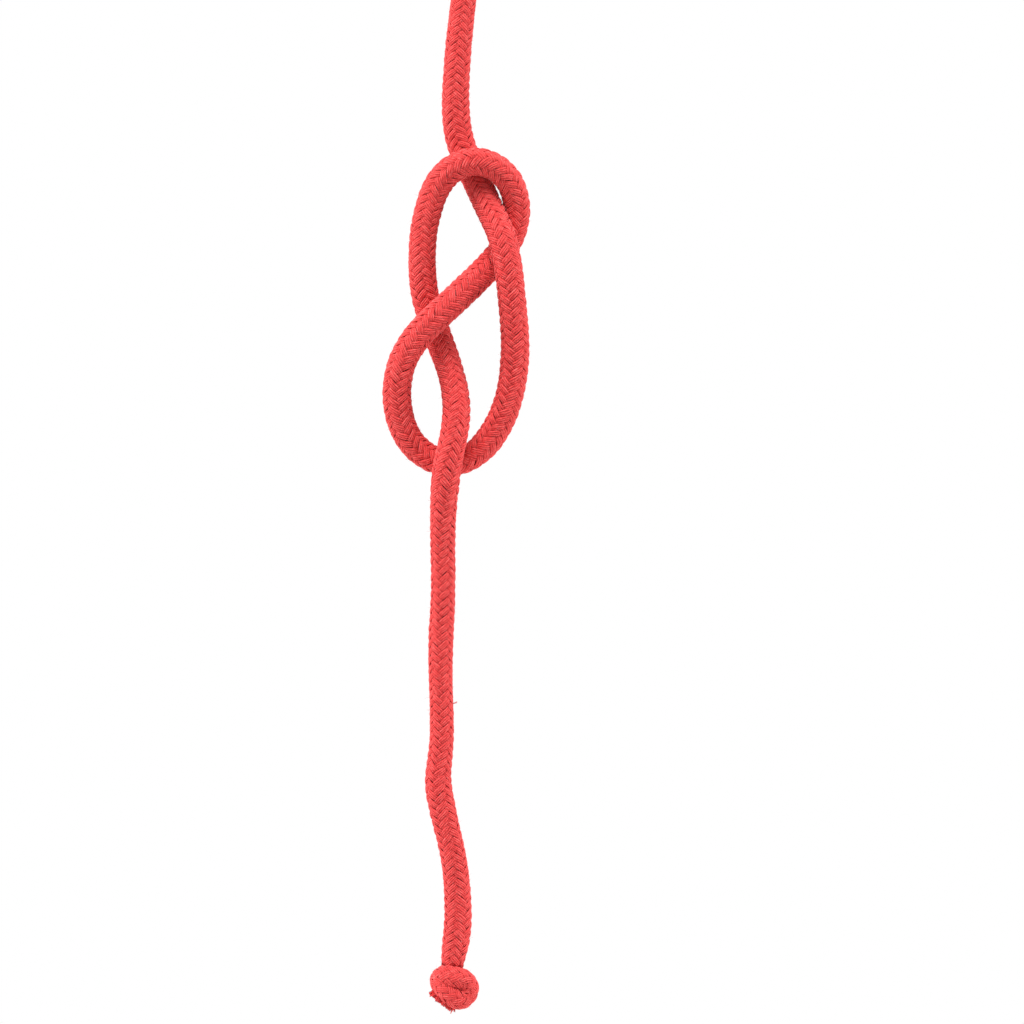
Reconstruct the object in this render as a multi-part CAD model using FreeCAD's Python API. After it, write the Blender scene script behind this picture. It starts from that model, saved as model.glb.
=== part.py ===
import FreeCAD, Part

import math
import os

# A braided cotton lead rope hanging from its own bolt snap. Millimetres, +Z up.
# The origin is where the hook bears: the inside top of the snap's hook. The rope hangs down -Z and
# the hook, the swivel ring and the flat of the knot lie in the XZ plane, with the front towards -Y.

V = FreeCAD.Vector
X_AXIS = V(1, 0, 0)
Y_AXIS = V(0, 1, 0)
Z_AXIS = V(0, 0, 1)

# ---------------------------------------------------------------- driving dimensions
ROPE_D = 20.0
CORE_D = 12.0

HOOK_BAR_D = 7.0
HOOK_INNER_R = 9.5
NOSE_Z = -17.5
SPINE_END_Z = -42.0

BOLT_D = 7.0
RUNNING_GAP = 0.08
BOLT_TRAVEL = 11.0
BOLT_END_Z = -43.5
SPIGOT_D = 4.0
SPIGOT_LENGTH = 1.4
SOCKET_GAP = 0.3
BOLT_ROUND = 0.6

BARREL_D = 12.4
BARREL_TOP_Z = -30.0
BARREL_END_Z = -65.0
BARREL_RIM_ROUND = 1.2
PLUG_LENGTH = 3.0
KNOB_Z = -39.0
KNOB_NECK_D = 3.2
KNOB_D = 7.6
KNOB_LENGTH = 5.0
KNOB_STAND_OFF = 0.6
KNOB_ROUND = 1.6
KNOB_CHAMFER = 0.5
SLOT_GAP = 0.2

SPRING_WIRE_D = 0.8
SPRING_D = 6.0
SPRING_TURNS = 7

WEB_THICKNESS = 9.0
WEB_CORNER_R = 2.0
WEB_EDGE_R = 1.2
# The web's outline in X and Z, from the spine down round the swivel boss to the barrel and back.
WEB_OUTLINE = [
    (-16.5, -37), (-16.5, -43), (-8.5, -58), (-8.5, -62), (8.5, -62), (15, -62),
    (15, -34), (6, -35.5), (-5, -35.5), (-9.5, -33),
]
BOSS_D = 17.0
BOSS_SHOULDER = 6.0
BOSS_SHOULDER_CHAMFER = 2.5
BOSS_FOOT_CHAMFER = 1.0
BOSS_TOP_Z = -58.0
BOSS_END_Z = -68.0
WINDOW_WIDTH = 12.4
WINDOW_HEIGHT = 9.0

RING_BAR_D = 6.0
RING_INNER_D = 25.0
STEM_D = 6.2
WASHER_D = 11.2
WASHER_THICKNESS = 1.2
AXIAL_GAP = 0.1
COLLAR_D = 10.4
COLLAR_GAP = 0.3
COLLAR_TO_RING = 4.7

CLAMP_WALL = 1.8
CLAMP_TOP_Z = -134.0
CLAMP_END_Z = -163.0
CLAMP_SEAM = 1.2
CLAMP_SQUEEZE = 0.4
LEGS_APART = 1.0

STOPPER_D = 37.0
STOPPER_HEIGHT = 32.0

ARC_SHARE = 0.45   # how much of a run each of its two arcs may use
TOLERANCE = 0.01

# ---------------------------------------------------------------- worked out from them
ROPE_R = ROPE_D / 2
HOOK_R = HOOK_INNER_R + HOOK_BAR_D / 2
BORE_R = BOLT_D / 2 + RUNNING_GAP
RING_R = (RING_INNER_D + RING_BAR_D) / 2
COLLAR_TOP_Z = BOSS_END_Z - COLLAR_GAP
RING_CENTRE_Z = COLLAR_TOP_Z - COLLAR_TO_RING - RING_R

# The rope's route, from its short end up through the clamp, over the ring's bar, down through the
# clamp again, and then along the loose figure-eight knot and the tail to the stopper knot.
ROUTE = [
    # short leg in the clamp
    (0, 10.5, -171), (0, 10.2, -151), (0, 10.5, -132), (0, 13.0, -116),
    # over the ring's bar
    (0, 13.6, -98.3), (0, 5.6, -90.4), (0, -5.6, -90.4), (0, -13.6, -98.3),
    # long leg through the clamp
    (0, -13.0, -116), (0, -10.5, -132), (0, -10.2, -151), (0, -10.5, -171),
    # down to the knot, passing behind the upper arch
    (-1.6, -8, -196), (-5.5, -4, -225), (-8.1, 1, -256), (-9, 6, -284),
    (-5.5, 10.8, -308), (6.5, 10.8, -334),
    # forward and over the diagonal, then down the right side
    (15, 3.5, -353), (23.2, -7, -371), (27.6, -10.8, -383), (31.8, -10.8, -405),
    (34, -7.5, -428), (36.5, -3, -453), (36, 2, -478), (31.2, 6, -504),
    (21.8, 9.5, -525), (9.5, 10.8, -540.3),
    # the bottom bend passes behind the tail, then up the left side
    (-5, 10.8, -549), (-23.5, 10.8, -548.5), (-40.5, 7.5, -537.5), (-50.5, 2, -519),
    (-53.5, -4, -496), (-50, -8.5, -476), (-41.5, -10.8, -460),
    # the diagonal: over the left leg, then behind the right side
    (-30.5, -10.8, -447), (-17.5, -10.8, -435), (-2, -4.5, -420), (11.6, 5, -405.8),
    (23, 10.8, -393), (32.5, 10.8, -380),
    # the upper arch, over the rope coming down
    (38, 7.5, -363), (36.5, 0.5, -344), (27, -6.5, -330), (11.5, -10.8, -322.5),
    (-5.2, -10.8, -324.8), (-18.5, -7.5, -334.3), (-26.8, -3, -349.8),
    # the left leg, behind the diagonal, and over the bottom bend
    (-32.5, 0.5, -371), (-34.3, 3, -394), (-33.2, 7.5, -417), (-28.8, 10.8, -434),
    (-22.4, 10.8, -453), (-14.6, 6.5, -473), (-8.9, -1, -493), (-7.4, -7, -513),
    (-10.2, -10.8, -532), (-15.4, -10.8, -555),
    # the tail
    (-17.5, -6, -579), (-18.5, -1.5, -607), (-17.6, 1.5, -645), (-20.5, 1.5, -694),
    (-19, 0, -737), (-19, -1.5, -764), (-22.8, -2.5, -789), (-17, -1.5, -818),
    (-10.5, 0, -843), (-7, 1, -872), (-6.5, 0.5, -901), (-11.5, 0, -928.5),
]


# ---------------------------------------------------------------- helpers
def cylinder(diameter, start, axis, length):
    return Part.makeCylinder(diameter / 2, length, V(*start), axis)


def block(x, y, z):
    """A box from three (low, high) pairs."""
    size = (x[1] - x[0], y[1] - y[0], z[1] - z[0])
    return Part.makeBox(*size, V(x[0], y[0], z[0]))


def revolved(profile, centre_x):
    """A solid turned about the vertical line at centre_x from (radius, z) points."""
    points = [V(centre_x + radius, 0, z) for radius, z in profile]
    face = Part.Face(Part.makePolygon(points + points[:1]))
    return face.revolve(V(centre_x, 0, 0), Z_AXIS, 360)


def cord_path(points):
    """Straight runs joined by tangent arcs."""
    points = [V(*p) for p in points]
    edges = []
    radii = []
    start = points[0]
    for before, corner, after in zip(points, points[1:], points[2:]):
        arriving = (corner - before).normalize()
        leaving = (after - corner).normalize()
        half_turn = arriving.getAngle(leaving) / 2
        setback = ARC_SHARE * min((corner - before).Length, (after - corner).Length)
        radius = setback / math.tan(half_turn)
        radii.append(radius)
        arc_start = corner - arriving * setback
        arc_end = corner + leaving * setback
        bisector = (leaving - arriving).normalize()
        arc_middle = corner + bisector * (radius / math.cos(half_turn) - radius)
        edges.append(Part.LineSegment(start, arc_start).toShape())
        edges.append(Part.Arc(arc_start, arc_middle, arc_end).toShape())
        start = arc_end
    edges.append(Part.LineSegment(start, points[-1]).toShape())
    print("bend radii, mm:", " ".join(f"{radius:.0f}" for radius in radii))
    return Part.Wire(edges)


def swept(path, outer_d, inner_d=0.0):
    """A round section, or a ring section, swept along the path."""
    start = path.Edges[0].Vertexes[0].Point
    heading = path.Edges[0].tangentAt(path.Edges[0].FirstParameter)
    section = Part.Face(Part.Wire(Part.makeCircle(outer_d / 2, start, heading)))
    if inner_d:
        hole = Part.Face(Part.Wire(Part.makeCircle(inner_d / 2, start, heading)))
        section = section.cut(hole).Faces[0]
    solid = path.makePipe(section)
    expected = math.pi / 4 * (outer_d ** 2 - inner_d ** 2) * path.Length
    print(f"swept {outer_d:g}/{inner_d:g}: length {path.Length:.1f} mm, "
          f"volume over section x length {solid.Volume / expected:.4f}, valid {solid.isValid()}")
    return solid


# ---------------------------------------------------------------- the snap
def snap_body():
    """Cast hook, web, barrel and swivel boss in one piece."""
    r = HOOK_R
    centre_z = -HOOK_INNER_R
    arm_path = Part.Wire([
        Part.LineSegment(V(-r, 0, SPINE_END_Z), V(-r, 0, centre_z)).toShape(),
        Part.Arc(V(-r, 0, centre_z), V(0, 0, centre_z + r), V(r, 0, centre_z)).toShape(),
        Part.LineSegment(V(r, 0, centre_z), V(r, 0, NOSE_Z)).toShape(),
    ])
    section = Part.Face(Part.Wire(Part.makeCircle(HOOK_BAR_D / 2, V(-r, 0, SPINE_END_Z), Z_AXIS)))
    arm = arm_path.makePipe(section)

    barrel = cylinder(BARREL_D, (r, 0, BARREL_END_Z), Z_AXIS, BARREL_TOP_Z - BARREL_END_Z)
    rim = [edge for edge in barrel.Edges
           if edge.BoundBox.ZMin > BARREL_TOP_Z - TOLERANCE]
    barrel = barrel.makeFillet(BARREL_RIM_ROUND, rim)

    corners = [V(x, -WEB_THICKNESS / 2, z) for x, z in WEB_OUTLINE]
    web = Part.Face(Part.makePolygon(corners + corners[:1])).extrude(Y_AXIS * WEB_THICKNESS)
    upright = [edge for edge in web.Edges
               if edge.BoundBox.YLength > WEB_THICKNESS - TOLERANCE and edge.BoundBox.XMax < 7]
    web = web.makeFillet(WEB_CORNER_R, upright)
    flat = [edge for edge in web.Edges if edge.BoundBox.YLength < TOLERANCE]
    web = web.makeFillet(WEB_EDGE_R, flat)

    boss_top_z = BOSS_TOP_Z + BOSS_SHOULDER
    boss = cylinder(BOSS_D, (0, 0, BOSS_END_Z), Z_AXIS, boss_top_z - BOSS_END_Z)
    foot = [edge for edge in boss.Edges if edge.BoundBox.ZMax < BOSS_END_Z + TOLERANCE]
    boss = boss.makeChamfer(BOSS_FOOT_CHAMFER, foot)
    shoulder = [edge for edge in boss.Edges if edge.BoundBox.ZMin > boss_top_z - TOLERANCE]
    boss = boss.makeChamfer(BOSS_SHOULDER_CHAMFER, shoulder)

    body = arm.fuse([barrel, web, boss]).removeSplitter()

    half_window = WINDOW_WIDTH / 2
    window = block((-half_window, half_window), (-BOSS_D, BOSS_D),
                   (BOSS_TOP_Z, BOSS_TOP_Z + WINDOW_HEIGHT))
    stem_bore = cylinder(STEM_D + 2 * RUNNING_GAP, (0, 0, BOSS_END_Z), Z_AXIS,
                         BOSS_TOP_Z - BOSS_END_Z + 1)
    bolt_bore = cylinder(2 * BORE_R, (r, 0, BARREL_END_Z), Z_AXIS, BARREL_TOP_Z - BARREL_END_Z)
    socket = cylinder(SPIGOT_D + 2 * SOCKET_GAP, (r, 0, NOSE_Z), Z_AXIS, SPIGOT_LENGTH + SOCKET_GAP)
    slot_half = KNOB_NECK_D / 2 + SLOT_GAP
    slot = block((r, r + BARREL_D), (-slot_half, slot_half),
                 (KNOB_Z - BOLT_TRAVEL - slot_half, KNOB_Z + slot_half))
    return body.cut([window, stem_bore, bolt_bore, socket, slot]).removeSplitter()


def snap_bolt():
    shoulder_z = NOSE_Z - SOCKET_GAP
    rod = cylinder(BOLT_D, (HOOK_R, 0, BOLT_END_Z), Z_AXIS, shoulder_z - BOLT_END_Z)
    top = [edge for edge in rod.Edges if edge.BoundBox.ZMin > shoulder_z - TOLERANCE]
    rod = rod.makeFillet(BOLT_ROUND, top)
    spigot = cylinder(SPIGOT_D, (HOOK_R, 0, shoulder_z - 1), Z_AXIS, SPIGOT_LENGTH + 1)
    neck_hole = cylinder(KNOB_NECK_D, (HOOK_R, 0, KNOB_Z), X_AXIS, BOLT_D)
    return rod.fuse(spigot).cut(neck_hole).removeSplitter()


def thumb_knob():
    knob_x = HOOK_R + BARREL_D / 2 + KNOB_STAND_OFF
    neck = cylinder(KNOB_NECK_D, (HOOK_R, 0, KNOB_Z), X_AXIS, knob_x - HOOK_R + 1)
    knob = cylinder(KNOB_D, (knob_x, 0, KNOB_Z), X_AXIS, KNOB_LENGTH)
    outer = [edge for edge in knob.Edges if edge.BoundBox.XMin > knob_x + KNOB_LENGTH - TOLERANCE]
    knob = knob.makeFillet(KNOB_ROUND, outer)
    inner = [edge for edge in knob.Edges if edge.BoundBox.XMax < knob_x + TOLERANCE]
    knob = knob.makeChamfer(KNOB_CHAMFER, inner)
    return neck.fuse(knob).removeSplitter()


def bolt_spring():
    """Compression spring between the bolt's lower end and the plug."""
    top_z = BOLT_END_Z - SPRING_WIRE_D / 2
    low_z = BARREL_END_Z + PLUG_LENGTH + SPRING_WIRE_D / 2
    radius = (SPRING_D - SPRING_WIRE_D) / 2
    height = top_z - low_z
    helix = Part.makeHelix(height / SPRING_TURNS, height, radius)
    start = V(radius, 0, 0)
    heading = helix.Edges[0].tangentAt(helix.Edges[0].FirstParameter)
    section = Part.Wire(Part.makeCircle(SPRING_WIRE_D / 2, start, heading))
    coil = Part.Wire(helix).makePipeShell([section], True, True)
    coil.translate(V(HOOK_R, 0, low_z))
    return coil


def barrel_plug():
    return cylinder(2 * BORE_R, (HOOK_R, 0, BARREL_END_Z), Z_AXIS, PLUG_LENGTH)


# ---------------------------------------------------------------- the swivel
def swivel_eye():
    """Ring on a stem, whose head is peened over inside the body's window."""
    ring = Part.makeTorus(RING_R, RING_BAR_D / 2, V(0, 0, RING_CENTRE_Z), Y_AXIS)
    head_z = BOSS_TOP_Z + AXIAL_GAP + WASHER_THICKNESS
    stem_foot_z = RING_CENTRE_Z + RING_R
    stem = revolved([
        (0, stem_foot_z), (3.6, stem_foot_z), (COLLAR_D / 2, COLLAR_TOP_Z - 2),
        (COLLAR_D / 2, COLLAR_TOP_Z),
        (STEM_D / 2, COLLAR_TOP_Z), (STEM_D / 2, head_z), (4.6, head_z), (4.2, head_z + 1.4),
        (2.6, head_z + 2.4), (0, head_z + 2.8),
    ], 0)
    return ring.fuse(stem).removeSplitter()


def swivel_washer():
    low_z = BOSS_TOP_Z + AXIAL_GAP
    washer = cylinder(WASHER_D, (0, 0, low_z), Z_AXIS, WASHER_THICKNESS)
    return washer.cut(cylinder(STEM_D + 0.2, (0, 0, low_z), Z_AXIS, WASHER_THICKNESS))


# ---------------------------------------------------------------- the rope
def oblong(width, length, z, height):
    """An upright block with round ends, long in Y."""
    half = (length - width) / 2
    middle = block((-width / 2, width / 2), (-half, half), (z, z + height))
    ends = [cylinder(width, (0, y, z), Z_AXIS, height) for y in (-half, half)]
    return middle.fuse(ends).removeSplitter()


def rope_clamp():
    """A strip of metal closed round both legs of the rope, with an open seam at the back."""
    inside_width = ROPE_D - CLAMP_SQUEEZE
    inside_length = 2 * ROPE_D + LEGS_APART - CLAMP_SQUEEZE
    height = CLAMP_TOP_Z - CLAMP_END_Z
    outer = oblong(inside_width + 2 * CLAMP_WALL, inside_length + 2 * CLAMP_WALL,
                   CLAMP_END_Z, height)
    inner = oblong(inside_width, inside_length, CLAMP_END_Z - 1, height + 2)
    seam = block((-CLAMP_SEAM / 2, CLAMP_SEAM / 2), (ROPE_D, 2 * ROPE_D),
                 (CLAMP_END_Z - 1, CLAMP_TOP_Z + 1))
    return outer.cut([inner, seam])


def stopper_knot():
    """The tight overhand knot at the rope's end, as one rounded solid under the tube's end."""
    end = V(*ROUTE[-1])
    heading = (end - V(*ROUTE[-2])).normalize()
    half = STOPPER_D / 2
    top_r = ROPE_R + 1.5
    profile = [
        (0, 0), (top_r, 0), (0.88 * half, -3.5), (half, -0.36 * STOPPER_HEIGHT),
        (0.99 * half, -0.62 * STOPPER_HEIGHT), (0.8 * half, -0.86 * STOPPER_HEIGHT),
        (0.4 * half, -STOPPER_HEIGHT), (0, -STOPPER_HEIGHT),
    ]
    knot = revolved(profile, 0)
    tilt = FreeCAD.Rotation(V(0, 0, -1), heading)
    knot.Placement = FreeCAD.Placement(end, tilt)
    return knot


def main():
    route = cord_path(ROUTE)
    parts = {
        "snap_body": snap_body(),
        "snap_bolt": snap_bolt(),
        "thumb_knob": thumb_knob(),
        "bolt_spring": bolt_spring(),
        "barrel_plug": barrel_plug(),
        "swivel_eye": swivel_eye(),
        "swivel_washer": swivel_washer(),
        "rope_clamp": rope_clamp(),
        "rope_cover": swept(route, ROPE_D, CORE_D),
        "rope_core": swept(route, CORE_D),
        "stopper_knot": stopper_knot(),
    }
    os.makedirs("parts", exist_ok=True)
    for name, shape in parts.items():
        solids = len(shape.Solids)
        print(f"{name}: {solids} solid, valid {shape.isValid()}, {shape.Volume / 1000:.2f} cm3")
        shape.exportStep(f"parts/{name}.step")


main()
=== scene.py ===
import math

import bpy
import numpy as np
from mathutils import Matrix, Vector


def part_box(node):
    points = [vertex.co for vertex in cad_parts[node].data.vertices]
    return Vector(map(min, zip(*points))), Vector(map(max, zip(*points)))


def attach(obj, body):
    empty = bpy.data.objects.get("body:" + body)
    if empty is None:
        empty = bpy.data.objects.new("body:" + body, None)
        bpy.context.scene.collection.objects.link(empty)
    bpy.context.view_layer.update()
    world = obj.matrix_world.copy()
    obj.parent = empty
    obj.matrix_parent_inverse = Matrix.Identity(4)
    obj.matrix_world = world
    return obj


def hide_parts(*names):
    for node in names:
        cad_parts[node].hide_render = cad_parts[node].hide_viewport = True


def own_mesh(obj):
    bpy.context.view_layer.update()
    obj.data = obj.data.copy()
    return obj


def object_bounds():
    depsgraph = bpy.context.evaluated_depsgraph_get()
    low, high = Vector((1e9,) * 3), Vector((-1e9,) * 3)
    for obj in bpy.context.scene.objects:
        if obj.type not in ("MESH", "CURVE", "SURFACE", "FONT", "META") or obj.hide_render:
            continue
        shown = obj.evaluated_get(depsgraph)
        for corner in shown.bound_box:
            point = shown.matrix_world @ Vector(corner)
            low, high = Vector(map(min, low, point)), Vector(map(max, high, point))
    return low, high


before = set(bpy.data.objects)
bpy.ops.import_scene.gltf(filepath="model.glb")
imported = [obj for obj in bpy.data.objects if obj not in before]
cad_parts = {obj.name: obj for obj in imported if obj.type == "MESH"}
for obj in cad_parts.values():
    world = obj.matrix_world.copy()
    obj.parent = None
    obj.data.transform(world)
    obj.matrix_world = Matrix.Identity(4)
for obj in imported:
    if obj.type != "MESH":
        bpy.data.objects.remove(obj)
cad_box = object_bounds()

MM = 0.001

# ---------------------------------------------------------------- the rope's real sizes
ROPE_D = 20 * MM
CORE_D = 15 * MM
CORE_INSET = 2.1 * MM        # the core stays at least this far below the rope's surface
STRANDS_EACH_WAY = 8
LAY = 51 * MM                # one turn of a strand round the rope
STRAND_FILL = 0.965          # strand width over the space between two strands
STRAND_HALF_THICKNESS = 1.15 * MM
STRAND_HUG = 0.62            # how closely a strand bends round the rope under it
WEAVE_HEIGHT = 0.95 * MM     # half the rise and fall of a strand
WEAVE_SQUARENESS = 1.9       # how quickly a strand goes from over to under
RING_STEP = 0.66 * MM        # between the rings of a strand
LINE_STEP = 0.5 * MM         # between the points of the centre line
SPLINE_STEPS = 16            # points on the centre line for each control point
SMOOTH_RINGS = 13
STRETCH_LIMITS = (0.5, 1.8)  # of a strand's spacing, inside and outside a bend

# The braid's slow drift round the rope: radians, metres along for each radian, and start.
WANDER = ((0.35, 0.11, 0.0), (0.25, 0.047, 1.0))
# How unevenly a strand lies: the period and the size of each random wave.
UNEVEN_ANGLE = (9 * MM, 0.035)
UNEVEN_WIDTH = (13 * MM, 0.08)
UNEVEN_THICKNESS = (11 * MM, 0.12)
UNEVEN_HEIGHT = (6 * MM, 0.15 * MM)

# Below the knot the rope has turned a little and its strands lie looser.
TAIL = 420 * MM              # how long that stretch is
TAIL_START = 120 * MM        # how far along it the change takes
TAIL_TURN = 1.05             # radians
TAIL_LOOSER = 0.035

# The rope's route: short end, clamp, ring, clamp, figure-eight knot and tail.
ROUTE = [
    # short leg in the clamp
    (0, 10.5, -171), (0, 10.2, -151), (0, 10.5, -132), (0, 13.0, -116),
    # over the ring's bar
    (0, 13.6, -98.3), (0, 5.6, -90.4), (0, -5.6, -90.4), (0, -13.6, -98.3),
    # long leg through the clamp
    (0, -13.0, -116), (0, -10.5, -132), (0, -10.2, -151), (0, -10.5, -171),
    # down to the knot, passing behind the upper arch
    (-1.6, -8, -196), (-5.5, -4, -225), (-8.1, 1, -256), (-9, 6, -284),
    (-5.5, 10.8, -308), (6.5, 10.8, -334),
    # forward and over the diagonal, then down the right side
    (15, 3.5, -353), (23.2, -7, -371), (27.6, -10.8, -383), (31.8, -10.8, -405),
    (34, -7.5, -428), (36.5, -3, -453), (36, 2, -478), (31.2, 6, -504),
    (21.8, 9.5, -525), (9.5, 10.8, -540.3),
    # the bottom bend passes behind the tail, then up the left side
    (-5, 10.8, -549), (-23.5, 10.8, -548.5), (-40.5, 7.5, -537.5), (-50.5, 2, -519),
    (-53.5, -4, -496), (-50, -8.5, -476), (-41.5, -10.8, -460),
    # the diagonal: over the left leg, then behind the right side
    (-30.5, -10.8, -447), (-17.5, -10.8, -435), (-2, -4.5, -420), (11.6, 5, -405.8),
    (23, 10.8, -393), (32.5, 10.8, -380),
    # the upper arch, over the rope coming down
    (38, 7.5, -363), (36.5, 0.5, -344), (27, -6.5, -330), (11.5, -10.8, -322.5),
    (-5.2, -10.8, -324.8), (-18.5, -7.5, -334.3), (-26.8, -3, -349.8),
    # the left leg, behind the diagonal, and over the bottom bend
    (-32.5, 0.5, -371), (-34.3, 3, -394), (-33.2, 7.5, -417), (-28.8, 10.8, -434),
    (-22.4, 10.8, -453), (-14.6, 6.5, -473), (-8.9, -1, -493), (-7.4, -7, -513),
    (-10.2, -10.8, -532), (-15.4, -10.8, -555),
    # the tail
    (-17.5, -6, -579), (-18.5, -1.5, -607), (-17.6, 1.5, -645), (-20.5, 1.5, -694),
    (-19, 0, -737), (-19, -1.5, -764), (-22.8, -2.5, -789), (-17, -1.5, -818),
    (-10.5, 0, -843), (-7, 1, -872), (-6.5, 0.5, -901), (-11.5, 0, -928.5),
]

# The tight knot at the end, from its own middle: down its core, a wrap from the upper left
# across the front, a turn at the right, back across the front below it, up the left side,
# round the back, and down through the core to the cut end at the lower left.
STOPPER_MIDDLE = (-10.2, 0, -945.2)
STOPPER_ROUTE = [
    (0, 1, 9), (1.5, 3.5, 2), (-2, 3.5, -1), (-7.5, 0.5, 5), (-7.5, -6, 10), (0, -9.8, 8.9),
    (7.8, -8, 7.2), (12.4, -4.8, -0.2), (7.4, -7.8, -7.6), (1.4, -10.2, -6.4),
    (-5.5, -8.5, -0.8), (-10.2, -2, 4.6), (-9, 6, 7), (0, 10, 5), (8.6, 8, 1), (9.5, 1, -4),
    (3, 2, -6), (-3, -1, -3), (-5.4, -1.8, -5.9), (-8.4, -1.8, -9.9),
]
STOPPER_START = 8 * MM       # how far into the stopper the strands take to tighten
STOPPER_TIGHTER_LAY = 0.2    # how much closer together the strands' turns lie there
STOPPER_FLATTER = 0.35       # how much of the weave's rise is pulled out there
# The crease where the rope goes into the stopper, with its shade painted into the strands'
# colour.
CREASE_AT = 1.9 * MM
CREASE_HALF_WIDTH = 1.5 * MM
CREASE_PAINTED_SHADE = 1.2

# The rope's radius in mm, by metres along from where it leaves the clamp: fuller in the
# figure-eight, thinner in the tail, and pinched at the stopper.
RADIUS_AT = [
    # short end, ring and clamp
    (-0.19, 9.6), (-0.15, 9.3), (-0.12, 9.6), (-0.06, 9.8), (-0.035, 9.4), (0.0, 9.4),
    # down to the figure-eight
    (0.03, 9.8), (0.06, 10.1), (0.10, 10.4), (0.13, 10.9), (0.16, 11.1),
    # through it
    (0.19, 11.2), (0.22, 10.7), (0.25, 10.8), (0.29, 10.9), (0.32, 11.2), (0.345, 10.9),
    (0.385, 11.0), (0.41, 10.3), (0.45, 10.7), (0.49, 11.2), (0.52, 11.0), (0.56, 11.3),
    (0.60, 11.3), (0.63, 10.9), (0.68, 10.4), (0.72, 10.5), (0.755, 10.8), (0.80, 10.5),
    (0.83, 10.8), (0.87, 10.9), (0.91, 10.3), (0.94, 10.7), (0.98, 11.0), (1.00, 10.9),
    # the tail
    (1.025, 10.1), (1.05, 9.5), (1.08, 9.4), (1.11, 9.8), (1.16, 9.2), (1.20, 9.5),
    (1.235, 10.4), (1.265, 9.9), (1.29, 10.1), (1.32, 10.5), (1.335, 10.6), (1.345, 10.6),
    # into the stopper
    (1.358, 9.4), (1.364, 8.6), (1.370, 8.0), (1.378, 8.4),
]
CUT_END_LENGTH = 6 * MM      # the last stretch, which opens out and holds no core
CUT_END_FLARE = 2.6 * MM
CORE_SIDES = 24
STOPPER_CORE_SIDES = 20
SHORT_CORE_START = 2 * MM    # it stops short of the rope's short end

# The yarns that show at the rope's two cut ends.
CUT_YARNS = 430
CUT_YARN_SIDES = 7
CUT_YARN_RINGS = 6
CUT_YARN_TIP = 0.62          # the tip's radius over the root's
CUT_DEPTH = 3.6 * MM         # how deep the yarns' roots lie
CUT_FILL = 0.93              # how much of the end's radius the roots fill
CUT_LENGTH = (1.15, 1.55)    # of the depth
CUT_THICKNESS = (0.70, 1.05)     # of an even share of the end's disc
CUT_LEAN = 0.09
CUT_BEND = 0.10
SHORT_END = ("short_end_yarns", 9.4 * MM, 0.10)      # name, radius, splay
STOPPER_END = ("stopper_end_yarns", 11.2 * MM, 0.30)

# The fuzz of fine fibres, with lengths and radii in mm, and the one yarn end that stands off
# the right of the tail.
FUZZ_COUNT = 7000
FUZZ_ROOT_DEPTH = 0.7 * MM
FUZZ_LENGTH = (1.0, 2.9)
FUZZ_R = (0.035, 0.075)
FUZZ_STAND = (0.5, 1.3)      # how far outward it points, against
FUZZ_LEAN = 1.0              # how far along and round the rope
FUZZ_BEND = 0.4
FUZZ_FALL_BACK = 0.25        # towards the rope
LOOSE_END_Z = -731 * MM
LOOSE_END_ROOT_DEPTH = 1.0 * MM
LOOSE_END_HEADING = (1.0, -0.2, 0.12)
LOOSE_END_BEND = (0.0, 0.0, 0.25)
LOOSE_END_SPREAD = (0.3, 0.10)   # of its roots in mm, and of its fibres' headings
LOOSE_END_FIBRES = 9
LOOSE_END_LENGTH = (3.0, 4.2)
LOOSE_END_R = 0.16

SEED = 11


# ---------------------------------------------------------------- the centre line
def spline_points(points, resolution):
    """Points along the smooth NURBS line that has these control points."""
    curve = bpy.data.curves.new("route_line", "CURVE")
    curve.dimensions = "3D"
    curve.resolution_u = resolution
    spline = curve.splines.new("NURBS")
    spline.points.add(len(points) - 1)
    for point, place in zip(spline.points, points):
        point.co = (*place, 1)
    spline.order_u = 3
    spline.use_endpoint_u = True
    holder = bpy.data.objects.new("route_line", curve)
    mesh = bpy.data.meshes.new_from_object(holder)
    line = np.array([v.co for v in mesh.vertices], float)
    bpy.data.objects.remove(holder)
    bpy.data.curves.remove(curve)
    bpy.data.meshes.remove(mesh)
    return line


def lengths_along(line):
    steps = np.linalg.norm(np.diff(line, axis=0), axis=1)
    return np.concatenate([[0], np.cumsum(steps)])


def unit(vectors):
    return vectors / np.maximum(np.linalg.norm(vectors, axis=-1, keepdims=True), 1e-12)


class Line:
    """A centre line with a frame that turns with it and doesn't twist."""

    def __init__(self, raw, step):
        along = lengths_along(raw)
        count = int(along[-1] / step) + 1
        self.s = np.linspace(0, along[-1], count)
        self.point = np.stack([np.interp(self.s, along, raw[:, k]) for k in range(3)], 1)
        self.tangent = unit(np.gradient(self.point, axis=0))
        self.side = np.zeros_like(self.point)
        upright = abs(self.tangent[0, 2]) >= 0.9
        guide = (1.0, 0.0, 0.0) if upright else (0.0, 0.0, 1.0)
        side = unit(np.cross(self.tangent[0], guide))
        for k, tangent in enumerate(self.tangent):
            side = unit(side - tangent * np.dot(side, tangent))
            self.side[k] = side
        self.up = np.cross(self.tangent, self.side)
        bend = np.gradient(self.tangent, self.s, axis=0)
        window = np.ones(SMOOTH_RINGS) / SMOOTH_RINGS
        self.bend = np.stack([np.convolve(bend[:, k], window, "same") for k in range(3)], 1)

    def at(self, s):
        """Point, tangent, side and up at the distances s."""
        values = [np.stack([np.interp(s, self.s, a[:, k]) for k in range(3)], 1)
                  for a in (self.point, self.tangent, self.side, self.up)]
        return values[0], unit(values[1]), unit(values[2]), unit(values[3])

    def stretch(self, s, outward, radius):
        """How much longer the surface is on this side than the middle."""
        bend = np.stack([np.interp(s, self.s, self.bend[:, k]) for k in range(3)], 1)
        return np.clip(1 - radius * np.sum(bend * outward, axis=1), *STRETCH_LIMITS)


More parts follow.
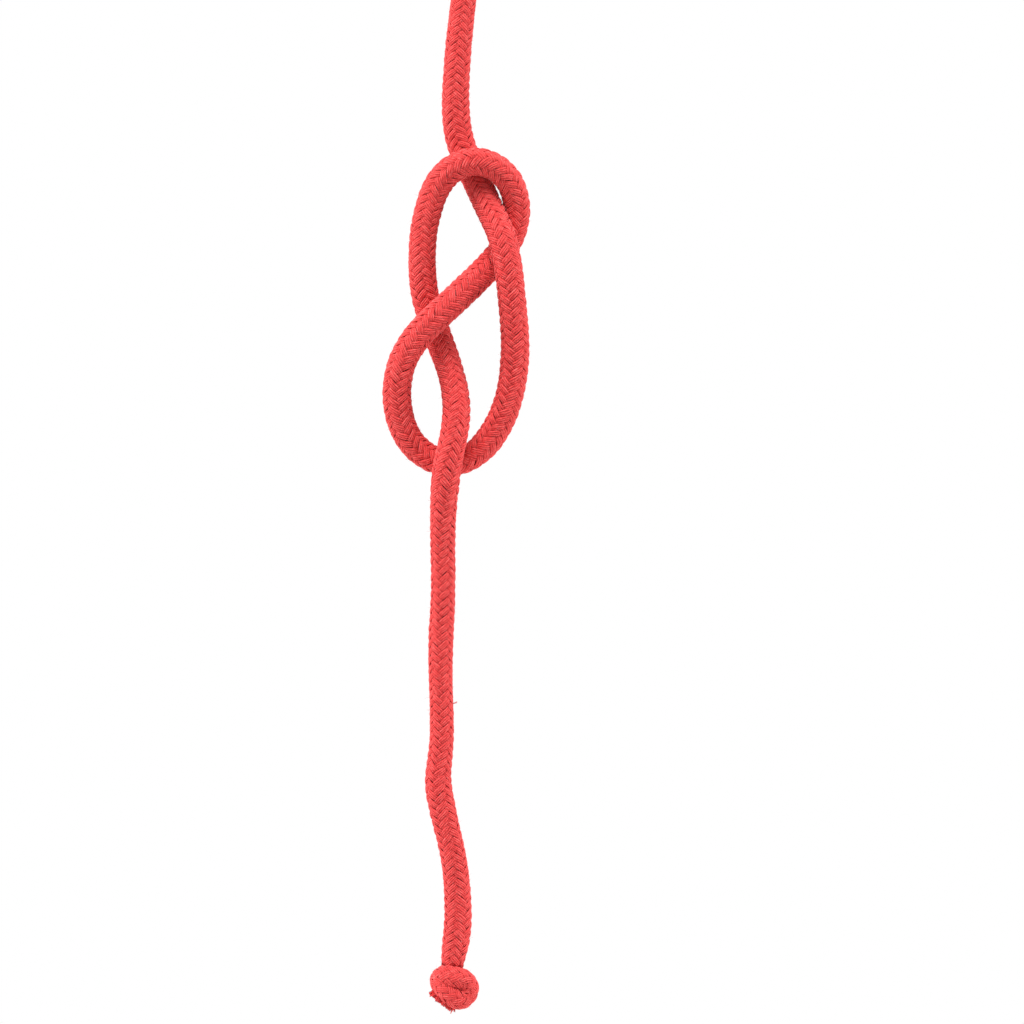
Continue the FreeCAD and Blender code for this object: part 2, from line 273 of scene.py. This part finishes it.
route = np.array(ROUTE) * MM
stopper = (np.array(STOPPER_ROUTE) + STOPPER_MIDDLE) * MM
whole = Line(spline_points(np.concatenate([route, stopper]).tolist(), SPLINE_STEPS), LINE_STEP)

# Distances along it: where the rope leaves the clamp, where it enters the stopper, and its end.
exit_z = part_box("rope_clamp")[0].z
front_leg = np.flatnonzero((whole.point[:, 1] < 0) & (whole.point[:, 2] < exit_z))
exit_s = whole.s[front_leg[0]]
knot_top_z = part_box("stopper_knot")[1].z
end_s = whole.s[np.flatnonzero(whole.point[:, 2] < knot_top_z)[0]]
cut_s = whole.s[-1]


def rope_radius(s):
    places = np.array([p for p, _ in RADIUS_AT])
    radii = np.array([r for _, r in RADIUS_AT]) * MM
    flare = np.clip((s - cut_s + CUT_END_LENGTH) / CUT_END_LENGTH, 0, 1) ** 2
    return np.interp(s - exit_s, places, radii) + CUT_END_FLARE * flare


def core_radius(s):
    return np.minimum(CORE_D / 2, rope_radius(s) - CORE_INSET)


def smooth_step(t):
    return t * t * (3 - 2 * t)


def smooth_noise(rng, s, period, size):
    """A gentle random wave along s."""
    knots = np.arange(s.min() - period, s.max() + 2 * period, period)
    values = rng.uniform(-size, size, len(knots))
    place = (s - knots[0]) / period
    low = np.clip(place.astype(int), 0, len(knots) - 2)
    t = smooth_step(place - low)
    return values[low] * (1 - t) + values[low + 1] * t


# ---------------------------------------------------------------- mesh pieces
def new_piece(name, vertices, faces, material, smooth=True):
    mesh = bpy.data.meshes.new(name)
    mesh.from_pydata(vertices.tolist() if hasattr(vertices, "tolist") else vertices, [], faces)
    mesh.materials.append(material)
    mesh.polygons.foreach_set("use_smooth", [smooth] * len(mesh.polygons))
    mesh.update()
    piece = bpy.data.objects.new(name, mesh)
    bpy.context.scene.collection.objects.link(piece)
    return piece


def store(piece, name, values):
    """Keep a number for each point, for the piece's material to read."""
    attribute = piece.data.attributes.new(name, "FLOAT", "POINT")
    attribute.data.foreach_set("value", np.asarray(values, np.float32))


def spokes(sides, side, up):
    """Directions round a line, for each of its points."""
    turn = np.arange(sides) / sides * 2 * math.pi
    return (np.cos(turn)[None, :, None] * side[:, None]
            + np.sin(turn)[None, :, None] * up[:, None])


def tube_faces(rings, sides):
    """Quads between rings, and a cap on each end."""
    ring = np.arange(rings - 1)[:, None] * sides
    k = np.arange(sides)[None, :]
    after = (k + 1) % sides
    quads = np.stack([ring + k, ring + after, ring + sides + after, ring + sides + k], -1)
    faces = quads.reshape(-1, 4).tolist()
    faces.append(list(range(sides))[::-1])
    faces.append(list(range((rings - 1) * sides, rings * sides)))
    return faces


def tube(name, line, radius, sides, material, start=0.0, end=None, step=2 * MM):
    """A round tube on a stretch of a line, and its middle points.

    radius is a number or a function of the distance.
    """
    end = line.s[-1] if end is None else end
    s = np.linspace(start, end, int((end - start) / step) + 2)
    point, _, side, up = line.at(s)
    r = np.broadcast_to(radius(s) if callable(radius) else radius, s.shape)[:, None, None]
    rings = point[:, None] + r * spokes(sides, side, up)
    piece = new_piece(name, rings.reshape(-1, 3), tube_faces(len(s), sides), material)
    return piece, point


# Across a strand: where its ring's points lie, and how high. Three yarns lie side by side, with
# two grooves between them.
YARN_GROOVE_AT = 0.335
YARN_GROOVE_DEPTH = 0.42
OUTER_ACROSS = np.array([-1, -0.88, -0.64, -0.42, -YARN_GROOVE_AT, -0.25, 0,
                         0.25, YARN_GROOVE_AT, 0.42, 0.64, 0.88, 1])
IN_GROOVE = np.abs(OUTER_ACROSS) == YARN_GROOVE_AT
OUTER_HEIGHT = (1 - np.abs(OUTER_ACROSS) ** 2.4) ** 0.5 - YARN_GROOVE_DEPTH * IN_GROOVE
INNER_ACROSS = np.array([0.6, 0.0, -0.6])
INNER_HEIGHT = np.array([-0.8, -1.0, -0.8])
ACROSS = np.concatenate([OUTER_ACROSS, INNER_ACROSS])
HEIGHT = np.concatenate([OUTER_HEIGHT, INNER_HEIGHT])
# The points painted with shade in the deep colour: both edges, the grooves and the hidden side.
AT_EDGE = np.abs(OUTER_ACROSS) == 1
PAINTED_SHADE_POINTS = np.concatenate([IN_GROOVE | AT_EDGE, np.ones(len(INNER_ACROSS))])
OTHER_WAY_GRAIN = 0.06       # sets the grain of the strands that turn one way apart


def strand(name, index, way, material, rng):
    """One braided strand: over two, under two, with the rope's other strands."""
    count = int(cut_s / RING_STEP)
    s = np.linspace(0, cut_s, count)
    point, _, side, up = whole.at(s)
    in_stopper = np.clip((s - end_s) / STOPPER_START, 0, 1)
    in_tail = np.clip((s - end_s + TAIL) / TAIL_START, 0, 1)

    # its angle round the rope, and how far it lies over or under the others
    tighter = STOPPER_TIGHTER_LAY * in_stopper
    level = LAY / (2 * STRANDS_EACH_WAY)
    levels = np.concatenate([[0], np.cumsum(np.diff(s) * (1 + tighter[1:]))]) / level
    phase = 2 * index + way * levels
    wander = sum(size * np.sin(s / pace + start) for size, pace, start in WANDER)
    wander = wander + TAIL_TURN * smooth_step(in_tail)
    angle = phase * math.pi / STRANDS_EACH_WAY + wander
    angle = angle + smooth_noise(rng, s, *UNEVEN_ANGLE)
    lift = way * np.cos((phase - 0.5) * math.pi / 2)
    lift = np.tanh(WEAVE_SQUARENESS * lift) / math.tanh(WEAVE_SQUARENESS)

    # its width and thickness, which follow the rope's size and bends
    outer = rope_radius(s)
    outward = np.cos(angle)[:, None] * side + np.sin(angle)[:, None] * up
    lay = LAY * whole.stretch(s, outward, outer) / (1 + tighter)
    slant = np.arctan2(2 * math.pi * outer, lay)
    fill = STRAND_FILL - TAIL_LOOSER * in_tail
    half_width = fill * lay / STRANDS_EACH_WAY * np.sin(slant) / 2
    half_width = half_width * (1 + smooth_noise(rng, s, *UNEVEN_WIDTH))
    size = outer / (ROPE_D / 2)
    half_height = STRAND_HALF_THICKNESS * size * (1 + smooth_noise(rng, s, *UNEVEN_THICKNESS))
    weave = WEAVE_HEIGHT * size * (1 - STOPPER_FLATTER * in_stopper)
    middle = outer - half_height - weave + weave * lift + smooth_noise(rng, s, *UNEVEN_HEIGHT)

    # its rings
    centre = point + middle[:, None] * outward
    heading = unit(np.gradient(centre, axis=0))
    across = unit(np.cross(heading, outward))
    normal = np.cross(across, heading)
    hug = (half_width[:, None] * ACROSS[None] * STRAND_HUG) ** 2 / (2 * outer[:, None])
    rise = half_height[:, None] * HEIGHT[None] - hug
    rings = (centre[:, None]
             + (half_width[:, None] * ACROSS[None])[..., None] * across[:, None]
             + rise[..., None] * normal[:, None])
    piece = new_piece(name, rings.reshape(-1, 3), tube_faces(count, len(ACROSS)), material)

    # what its material reads
    # Painted shade: the strand darkens where it passes under others and in the crease at the
    # stopper.
    painted_crease_shade = CREASE_PAINTED_SHADE * np.exp(-((s - end_s - CREASE_AT) / CREASE_HALF_WIDTH) ** 2)
    painted_under_shade = np.maximum((1 - lift) / 2, np.minimum(painted_crease_shade, 1))
    grain = (index + 0.5) / STRANDS_EACH_WAY + (OTHER_WAY_GRAIN if way > 0 else 0)
    store(piece, "along", np.repeat(lengths_along(centre), len(ACROSS)))
    store(piece, "across", np.tile(ACROSS, count))
    store(piece, "painted_groove_shade", np.tile(PAINTED_SHADE_POINTS, count))
    store(piece, "painted_under_shade", np.repeat(painted_under_shade, len(ACROSS)))
    store(piece, "strand", np.full(count * len(ACROSS), grain))
    return piece


def prisms(name, roots, headings, bends, lengths, thicks, tints, material,
           sides=3, rings=4, tip=0.3):
    """Many thin bent fibres as one piece, each with its own tint."""
    t = np.linspace(0, 1, rings)
    line = (roots[:, None] + headings[:, None] * (lengths[:, None] * t)[..., None]
            + bends[:, None] * (lengths[:, None] * t * t)[..., None])
    guide = np.where(np.abs(headings[:, 2:3]) < 0.8, (0.0, 0.0, 1.0), (1.0, 0.0, 0.0))
    side = unit(np.cross(headings, guide))
    up = np.cross(headings, side)
    r = thicks[:, None] * (1 - (1 - tip) * t ** 3)
    vertices = line[:, :, None] + r[:, :, None, None] * spokes(sides, side, up)[:, None]
    walls = np.array(tube_faces(rings, sides)[:-2])
    first = np.arange(len(roots)) * rings * sides
    faces = (first[:, None, None] + walls[None]).reshape(-1, 4).tolist()
    last = (rings - 1) * sides
    faces += [[k + last + j for j in range(sides)] for k in first.tolist()]
    faces += [[k + j for j in reversed(range(sides))] for k in first.tolist()]
    piece = new_piece(name, vertices.reshape(-1, 3), faces, material)
    store(piece, "tint", np.repeat(tints, rings * sides))
    return piece


def loose_fibres(name, count, material, rng):
    """The fuzz of fine fibres that stand off the cotton."""
    s = rng.uniform(0, cut_s, count)
    point, tangent, side, up = whole.at(s)
    angle = rng.uniform(0, 2 * math.pi, count)
    outward = np.cos(angle)[:, None] * side + np.sin(angle)[:, None] * up
    round_rope = np.cross(tangent, outward)
    roots = point + outward * (rope_radius(s) - FUZZ_ROOT_DEPTH)[:, None]
    lean = rng.normal(0, FUZZ_LEAN, (count, 2))
    headings = unit(outward * rng.uniform(*FUZZ_STAND, (count, 1)) + tangent * lean[:, :1]
                    + round_rope * lean[:, 1:])
    bends = rng.normal(0, FUZZ_BEND, (count, 3)) - FUZZ_FALL_BACK * outward
    lengths = rng.uniform(*FUZZ_LENGTH, count) * MM
    thicks = rng.uniform(*FUZZ_R, count) * MM

    # one longer yarn end has worked loose at the right of the tail
    loose = LOOSE_END_FIBRES
    place = np.argmin(np.abs(whole.point[:, 2] - LOOSE_END_Z))
    reach = rope_radius(whole.s[place]) - LOOSE_END_ROOT_DEPTH
    root = whole.point[place] + reach * np.array((1.0, 0, 0))
    root_spread, heading_spread = LOOSE_END_SPREAD
    near_root = root + rng.uniform(-root_spread, root_spread, (loose, 3)) * MM
    roots = np.concatenate([roots, near_root])
    toward = unit(np.array(LOOSE_END_HEADING) + rng.normal(0, heading_spread, (loose, 3)))
    headings = np.concatenate([headings, toward])
    bends = np.concatenate([bends, np.tile(LOOSE_END_BEND, (loose, 1))])
    lengths = np.concatenate([lengths, rng.uniform(*LOOSE_END_LENGTH, loose) * MM])
    thicks = np.concatenate([thicks, np.full(loose, LOOSE_END_R * MM)])
    tints = rng.uniform(0, 1, len(roots))
    return prisms(name, roots, headings, bends, lengths, thicks, tints, material)


def yarn_ends(name, centre, axis, radius, splay, material, rng):
    """The rope's cut end: uneven, slightly splayed yarn ends packed in a disc."""
    axis = unit(np.array(axis, float))
    side = unit(np.cross(axis, (0.0, 1.0, 0.0)))
    up = np.cross(axis, side)
    count = CUT_YARNS
    k = np.arange(count)
    golden_angle = math.pi * (3 - math.sqrt(5))
    turn = k * golden_angle + rng.normal(0, 0.1, count)
    reach = np.sqrt((k + 0.5) / count)
    away = np.cos(turn)[:, None] * side + np.sin(turn)[:, None] * up
    roots = centre - axis * CUT_DEPTH + away * (reach * radius * CUT_FILL)[:, None]
    lean = rng.normal(0, CUT_LEAN, (count, 3))
    headings = unit(axis + away * (reach * splay)[:, None] + lean)
    lengths = CUT_DEPTH * rng.uniform(*CUT_LENGTH, count)
    thicks = radius / math.sqrt(count) * rng.uniform(*CUT_THICKNESS, count)
    bends = rng.normal(0, CUT_BEND, (count, 3))
    tints = rng.uniform(0, 1, count)
    return prisms(name, roots, headings, bends, lengths, thicks, tints, material,
                  sides=CUT_YARN_SIDES, rings=CUT_YARN_RINGS, tip=CUT_YARN_TIP)


# ---------------------------------------------------------------- materials
class Nodes:
    """Short calls for building one node material."""

    def __init__(self, name):
        self.material = bpy.data.materials.new(name)
        self.material.use_nodes = True
        self.tree = self.material.node_tree
        self.shader = self.tree.nodes["Principled BSDF"]

    def add(self, kind, **settings):
        node = self.tree.nodes.new(kind)
        for key, value in settings.items():
            setattr(node, key, value)
        return node

    def feed(self, target, value):
        """Link a socket, or set it; a colour may leave out its alpha."""
        if isinstance(value, bpy.types.NodeSocket):
            self.tree.links.new(value, target)
        elif target.type == "RGBA":
            target.default_value = (*value[:3], 1)
        else:
            target.default_value = value

    def put(self, node, socket, value):
        self.feed(node.inputs[socket], value)

    def attribute(self, name):
        return self.add("ShaderNodeAttribute", attribute_name=name).outputs["Fac"]

    def object_place(self):
        return self.add("ShaderNodeTexCoord").outputs["Object"]

    def maths(self, operation, a, b=0.0):
        node = self.add("ShaderNodeMath", operation=operation)
        self.put(node, 0, a)
        self.put(node, 1, b)
        return node.outputs[0]

    def times(self, a, b):
        return self.maths("MULTIPLY", a, b)

    def plus(self, a, b):
        return self.maths("ADD", a, b)

    def vector(self, *parts):
        node = self.add("ShaderNodeCombineXYZ")
        for k, part in enumerate(parts):
            self.put(node, k, part)
        return node.outputs[0]

    def noise(self, place, scale, detail=2.0, roughness=0.5):
        node = self.add("ShaderNodeTexNoise")
        self.put(node, "Vector", place)
        self.put(node, "Scale", scale)
        self.put(node, "Detail", detail)
        self.put(node, "Roughness", roughness)
        return node.outputs["Fac"]

    def ramp(self, factor, stops):
        node = self.add("ShaderNodeValToRGB")
        elements = node.color_ramp.elements
        while len(elements) < len(stops):
            elements.new(0.5)
        for element, (place, colour) in zip(elements, stops):
            element.position = place
            element.color = (*colour, 1)
        self.put(node, "Fac", factor)
        return node.outputs["Color"]

    def mix(self, factor, a, b, blend="MIX"):
        node = self.add("ShaderNodeMix", data_type="RGBA", blend_type=blend)
        self.put(node, 0, factor)
        colours = [socket for socket in node.inputs if socket.type == "RGBA"]
        self.feed(colours[0], a)
        self.feed(colours[1], b)
        return next(socket for socket in node.outputs if socket.type == "RGBA")

    def bump(self, height, strength, distance):
        node = self.add("ShaderNodeBump")
        self.put(node, "Height", height)
        self.put(node, "Strength", strength)
        self.put(node, "Distance", distance)
        return node.outputs["Normal"]

    def finish(self, **sockets):
        """Set the shader's sockets, such as Base_Color, and give the material."""
        for name, value in sockets.items():
            self.put(self.shader, name.replace("_", " "), value)
        return self.material


# Scales of the cotton's patterns: along is for each metre, across for each half strand.
FIBRES_ALONG, FIBRES_ACROSS = 260.0, 9.0
PATCHES_ALONG = 45.0
TWIST_ALONG, TWIST_ACROSS = 5200.0, 9.0
STRAND_APART = 37.0          # so that no two strands have the same fibres


def cotton(name, light, deep_tone_and_shade, pale_tone_and_glint, sheen):
    """Soft-spun cotton yarn: fibres run along each strand, in twisted yarns, with painted shade
    in the deep colour at grooves, edges, hidden sides, under crossings and in the stopper's
    crease.
    """
    n = Nodes(name)
    along = n.attribute("along")
    across = n.attribute("across")
    apart = n.times(n.attribute("strand"), STRAND_APART)
    fibre_place = n.vector(n.times(along, FIBRES_ALONG), n.times(across, FIBRES_ACROSS), apart)
    fibres = n.noise(fibre_place, 1.0, 3.0, 0.65)
    patches = n.noise(n.vector(n.times(along, PATCHES_ALONG), across, apart), 1.0)
    # Fibre by fibre the colour runs from deep through light to pale; the pale fibres are paler
    # cotton and also painted glints of sheen.
    colour = n.ramp(fibres, [(0.26, deep_tone_and_shade), (0.54, light), (0.76, pale_tone_and_glint)])
    faded = n.ramp(patches, [(0.35, (0.90, 0.86, 0.86)), (0.65, (1.0, 1.0, 1.0))])
    colour = n.mix(0.6, colour, faded, "MULTIPLY")
    # Painted shade: the deep colour in the grooves, at the strands' edges and on their hidden
    # side.
    colour = n.mix(n.times(n.attribute("painted_groove_shade"), 0.9), colour, deep_tone_and_shade)
    # Painted shade: the deep colour where a strand passes under others and in the crease at the
    # stopper.
    colour = n.mix(n.maths("POWER", n.attribute("painted_under_shade"), 1.5), colour, deep_tone_and_shade)
    twist = n.plus(n.times(along, TWIST_ALONG), n.times(across, TWIST_ACROSS))
    height = n.plus(n.times(n.maths("SINE", twist), 0.35), fibres)
    return n.finish(Base_Color=colour, Normal=n.bump(height, 0.5, 0.25 * MM),
                    Roughness=n.plus(n.times(fibres, 0.15), 0.78), Specular_IOR_Level=0.18,
                    Sheen_Weight=0.6, Sheen_Roughness=0.3, Sheen_Tint=sheen)


def tinted_cotton(name, stops):
    """Cotton whose colour changes from fibre to fibre."""
    n = Nodes(name)
    grain = n.noise(n.object_place(), 1800.0)
    shade = n.ramp(grain, [(0.3, (0.55, 0.5, 0.5)), (0.7, (1, 1, 1))])
    colour = n.mix(0.5, n.ramp(n.attribute("tint"), stops), shade, "MULTIPLY")
    return n.finish(Base_Color=colour, Normal=n.bump(grain, 0.4, 0.15 * MM), Roughness=0.85,
                    Specular_IOR_Level=0.15, Sheen_Weight=0.3)


def metal(name, light, dark, rubbed, smooth, rough, grain, dent):
    """Metal with cloudy tarnish, a fine grain of pits or scratches, and paler rubbed edges."""
    n = Nodes(name)
    place = n.object_place()
    clouds = n.noise(place, 110.0, 4.0, 0.6)
    stretched = n.add("ShaderNodeVectorMath", operation="MULTIPLY")
    n.put(stretched, 0, place)
    n.put(stretched, 1, grain)
    pits = n.noise(stretched.outputs[0], 1.0, 3.0, 0.6)
    colour = n.ramp(clouds, [(0.34, dark), (0.62, light)])
    edge = n.add("ShaderNodeNewGeometry").outputs["Pointiness"]
    worn = n.ramp(edge, [(0.505, (0, 0, 0)), (0.56, (1, 1, 1))])
    colour = n.mix(n.times(worn, 0.75), colour, rubbed)
    spread = n.times(n.plus(clouds, pits), 0.5)
    roughness = n.ramp(spread, [(0.3, (smooth,) * 3), (0.7, (rough,) * 3)])
    height = n.plus(pits, n.times(clouds, 0.6))
    return n.finish(Base_Color=colour, Metallic=1.0, Roughness=roughness,
                    Normal=n.bump(height, dent, 0.2 * MM))


RED = cotton("red_cotton", light=(0.885, 0.073, 0.071), deep_tone_and_shade=(0.29, 0.005, 0.007),
             pale_tone_and_glint=(1.0, 0.29, 0.27), sheen=(1.0, 0.45, 0.45))
# The core is a darker red than the cover: painted shade, for where it shows between the
# strands.
CORE_SHADE_RED = cotton("core_cotton", light=(0.50, 0.04, 0.045), deep_tone_and_shade=(0.33, 0.02, 0.025),
                  pale_tone_and_glint=(0.62, 0.10, 0.10), sheen=(0.9, 0.5, 0.5))
FUZZ = tinted_cotton("fine_fibres", [(0.0, (0.72, 0.05, 0.05)), (0.7, (0.95, 0.13, 0.12)),
                                     (1.0, (1.0, 0.42, 0.40))])
# red yarns, and a few of bluish grey
CUT_YARN = tinted_cotton("cut_yarn", [(0.0, (0.42, 0.008, 0.010)), (0.5, (0.72, 0.018, 0.020)),
                                      (0.95, (0.90, 0.06, 0.05)), (0.97, (0.22, 0.25, 0.29)),
                                      (1.0, (0.36, 0.40, 0.43))])
BRASS = metal("cast_brass", light=(0.83, 0.60, 0.27), dark=(0.58, 0.38, 0.15),
              rubbed=(0.95, 0.78, 0.45), smooth=0.24, rough=0.46,
              grain=(900.0, 900.0, 900.0), dent=0.35)
STEEL = metal("bolt_steel", light=(0.66, 0.66, 0.65), dark=(0.48, 0.48, 0.48),
              rubbed=(0.80, 0.80, 0.79), smooth=0.20, rough=0.38,
              grain=(2600.0, 2600.0, 120.0), dent=0.18)
SPRING_STEEL = metal("spring_steel", light=(0.47, 0.47, 0.48), dark=(0.30, 0.29, 0.29),
                     rubbed=(0.6, 0.6, 0.6), smooth=0.25, rough=0.40,
                     grain=(2000.0, 2000.0, 2000.0), dent=0.15)
CLAMP_METAL = metal("clamp_metal", light=(0.80, 0.60, 0.29), dark=(0.60, 0.42, 0.18),
                    rubbed=(0.95, 0.80, 0.50), smooth=0.26, rough=0.45,
                    grain=(200.0, 200.0, 2200.0), dent=0.22)

# ---------------------------------------------------------------- the rope
rng = np.random.default_rng(SEED)
for way, family in ((1, "s"), (-1, "z")):
    for index in range(STRANDS_EACH_WAY):
        piece = strand(f"cover_strand_{family}{index + 1}", index, way, RED, rng)
        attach(piece, "rope")
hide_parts("rope_cover", "stopper_knot")

fuzz = loose_fibres("loose_fibres", FUZZ_COUNT, FUZZ, rng)
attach(fuzz, "rope")

for place, way_out, (name, radius, splay) in ((0.0, -1, SHORT_END), (cut_s, 1, STOPPER_END)):
    point, tangent, _, _ = whole.at(np.array([place]))
    piece = yarn_ends(name, point[0], tangent[0] * way_out, radius, splay, CUT_YARN, rng)
    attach(piece, "rope")

core, core_points = tube("rope_core_yarns", whole, core_radius, CORE_SIDES, CORE_SHADE_RED,
                         exit_s, end_s)
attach(core, "rope")
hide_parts("rope_core")

knot_core, _ = tube("stopper_core_yarns", whole, core_radius, STOPPER_CORE_SIDES, CORE_SHADE_RED,
                    end_s, cut_s - CUT_END_LENGTH)
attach(knot_core, "rope")
short_core, _ = tube("inner_core_yarns", whole, core_radius, CORE_SIDES, CORE_SHADE_RED,
                     SHORT_CORE_START, exit_s)
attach(short_core, "rope")

# ---------------------------------------------------------------- the snap and swivel
for names, material in ((("snap_body", "barrel_plug", "swivel_eye", "thumb_knob"), BRASS),
                        (("snap_bolt", "swivel_washer"), STEEL)):
    for name in names:
        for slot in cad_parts[name].material_slots:
            slot.material = material

# The spring in the barrel: closed, flattened end turns and open turns between them.
SPRING_WIRE_R = 0.4 * MM
SPRING_R = 2.6 * MM
SPRING_TURNS = 9.0
SPRING_END_TURNS = 1.1       # closed turns at each end
SPRING_END_CLIMB = 0.05      # the share of the height that they take
SPRING_POINTS = 360
SPRING_SIDES = 8
SPRING_LINE_STEP = 0.2 * MM
SPRING_RING_STEP = 0.35 * MM
spring_low, spring_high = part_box("bolt_spring")
spring_middle = (spring_low + spring_high) / 2
height = spring_high.z - spring_low.z
coil_turn = np.linspace(0, SPRING_TURNS, SPRING_POINTS)
climb = np.interp(coil_turn,
                  [0, SPRING_END_TURNS, SPRING_TURNS - SPRING_END_TURNS, SPRING_TURNS],
                  [0, SPRING_END_CLIMB, 1 - SPRING_END_CLIMB, 1])
coil = np.stack([spring_middle.x + SPRING_R * np.cos(coil_turn * 2 * math.pi),
                 spring_middle.y + SPRING_R * np.sin(coil_turn * 2 * math.pi),
                 spring_low.z + SPRING_WIRE_R + climb * (height - 2 * SPRING_WIRE_R)], 1)
spring, _ = tube("spring_coil", Line(coil, SPRING_LINE_STEP), SPRING_WIRE_R, SPRING_SIDES,
                 SPRING_STEEL, step=SPRING_RING_STEP)
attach(spring, "snap")
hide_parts("bolt_spring")
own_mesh(spring)

# ---------------------------------------------------------------- the clamp
# A strip closed round both legs, with rolled lips and three pressed grooves.
CLAMP_INSIDE_R = 9.8 * MM
CLAMP_STRAIGHT = 10.5 * MM   # half of each straight side
CLAMP_WALL = 1.5 * MM
CLAMP_SEAM = 1.2 * MM
CLAMP_RINGS = 90
CLAMP_PATH_POINTS = 150
# places along the clamp, and half widths, as shares of its length
LIP_AT, LIP_HALF = 0.045, 0.035
ROLL_LENGTH = 0.035
PRESSED_AT, PRESSED_HALF = (0.27, 0.5, 0.73), 0.035
# how far each of these moves the outer and the inner face outward
LIP_OUT = (0.3 * MM, 0.05 * MM)
PRESSED_OUT = (-0.75 * MM, -0.45 * MM)
ROLLED_OUT = (-0.8 * MM, 0.7 * MM)


def clamp_walls(u):
    """The outer and inner face's offset from the inside radius, at shares u of its length."""
    from_end = np.minimum(u, 1 - u)
    rolled = 1 - np.sqrt(1 - (1 - np.clip(from_end / ROLL_LENGTH, 0, 1)) ** 2)
    lip = np.exp(-((from_end - LIP_AT) / LIP_HALF) ** 2)
    pressed = sum(np.exp(-((u - place) / PRESSED_HALF) ** 2) for place in PRESSED_AT)
    outer, inner = (lip * LIP_OUT[k] + pressed * PRESSED_OUT[k] + rolled * ROLLED_OUT[k]
                    for k in range(2))
    return CLAMP_WALL + outer, inner


def clamp_path():
    """Once round the inside, from one edge of the seam to the other, and the way outward."""
    arc = math.pi * CLAMP_INSIDE_R
    side = 2 * CLAMP_STRAIGHT
    round_it = 2 * arc + 2 * side
    t = np.linspace(CLAMP_SEAM / 2, round_it - CLAMP_SEAM / 2, CLAMP_PATH_POINTS)
    t = (t + arc / 2) % round_it
    # the far arc, one straight side, the near arc, the other straight side
    parts = [t < arc, t < arc + side, t <= 2 * arc + side]
    turn = np.select(parts, [t / CLAMP_INSIDE_R, math.pi,
                             math.pi + (t - arc - side) / CLAMP_INSIDE_R], 2 * math.pi)
    y = np.select(parts, [CLAMP_STRAIGHT, CLAMP_STRAIGHT - (t - arc), -CLAMP_STRAIGHT],
                  -CLAMP_STRAIGHT + (t - 2 * arc - side))
    outward = np.stack([np.cos(turn), np.sin(turn)], 1)
    return np.stack([np.zeros_like(y), y], 1) + CLAMP_INSIDE_R * outward, outward


def clamp_sleeve():
    low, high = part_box("rope_clamp")
    u = np.linspace(0, 1, CLAMP_RINGS)
    z = low.z + u * (high.z - low.z)
    outer, inner = clamp_walls(u)
    base, outward = clamp_path()
    outside = base[None] + outer[:, None, None] * outward[None]
    inside = base[None, ::-1] + inner[:, None, None] * outward[None, ::-1]
    ring = np.concatenate([outside, inside], 1)
    sides = ring.shape[1]
    heights = np.broadcast_to(z[:, None, None], (CLAMP_RINGS, sides, 1))
    vertices = np.concatenate([ring, heights], 2)
    faces = tube_faces(CLAMP_RINGS, sides)[:-2]
    top = (CLAMP_RINGS - 1) * sides
    for a in range(CLAMP_PATH_POINTS - 1):
        b, c, d = a + 1, sides - 2 - a, sides - 1 - a
        faces.append([b, a, d, c])
        faces.append([top + a, top + b, top + c, top + d])
    return new_piece("clamp_sleeve", vertices.reshape(-1, 3), faces, CLAMP_METAL)


clamp = clamp_sleeve()
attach(clamp, "rope")
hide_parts("rope_clamp")

# ---------------------------------------------------------------- stage, light and camera
VIEW_HEIGHT = 0.773
VIEW_TOP_Z = -0.200
VIEW_X = 0.034
LENS = 100.0
SENSOR = 36.0
ROOM_LIGHT = 0.52
LIGHT_AIM = (0.0, 0.0, -0.58)
LIGHTS = [
    # name, place, width and height, power
    ("left_softbox", (-1.6, 0.1, -0.4), (1.0, 1.8), 25),
    ("right_softbox", (1.6, 0.1, -0.4), (1.0, 1.8), 25),
    ("top_softbox", (-0.3, -1.0, 1.2), (1.4, 1.0), 46),
]
FLOOR_DROP = 0.20            # below the lowest point
FLOOR_R = 0.9
FLOOR_SIDES = 96

camera_data = bpy.data.cameras.new("camera")
camera_data.lens = LENS
camera_data.sensor_width = SENSOR
camera = bpy.data.objects.new("camera", camera_data)
camera.location = (VIEW_X, -VIEW_HEIGHT * LENS / SENSOR, VIEW_TOP_Z - VIEW_HEIGHT / 2)
camera.rotation_euler = (math.radians(90), 0, 0)
bpy.context.scene.collection.objects.link(camera)
bpy.context.scene.camera = camera

for name, place, size, power in LIGHTS:
    data = bpy.data.lights.new(name, "AREA")
    data.shape = "RECTANGLE"
    data.size, data.size_y = size
    data.energy = power
    light = bpy.data.objects.new(name, data)
    light.location = place
    aim = Vector(LIGHT_AIM) - Vector(place)
    light.rotation_euler = aim.to_track_quat("-Z", "Y").to_euler()
    bpy.context.scene.collection.objects.link(light)

# The room lights the rope softly, and the camera sees it as plain white.
world = bpy.data.worlds.new("studio")
world.use_nodes = True
bpy.context.scene.world = world
tree = world.node_tree
background = tree.nodes["Background"]
background.inputs["Color"].default_value = (1, 1, 1, 1)
background.inputs["Strength"].default_value = ROOM_LIGHT
white = tree.nodes.new("ShaderNodeBackground")
white.inputs["Color"].default_value = (1, 1, 1, 1)
seen = tree.nodes.new("ShaderNodeLightPath")
either = tree.nodes.new("ShaderNodeMixShader")
tree.links.new(seen.outputs["Is Camera Ray"], either.inputs[0])
tree.links.new(background.outputs[0], either.inputs[1])
tree.links.new(white.outputs[0], either.inputs[2])
tree.links.new(either.outputs[0], tree.nodes["World Output"].inputs["Surface"])
bpy.context.scene.view_settings.view_transform = "Standard"

floor_z = cad_box[0][2] - FLOOR_DROP
floor_turn = np.arange(FLOOR_SIDES) / FLOOR_SIDES * 2 * math.pi
floor_rim = [(FLOOR_R * math.cos(t), FLOOR_R * math.sin(t), floor_z) for t in floor_turn]
floor_material = Nodes("pale_floor").finish(Base_Color=(0.86, 0.86, 0.85), Roughness=0.7)
floor = new_piece("floor", floor_rim, [list(range(FLOOR_SIDES))], floor_material, smooth=False)
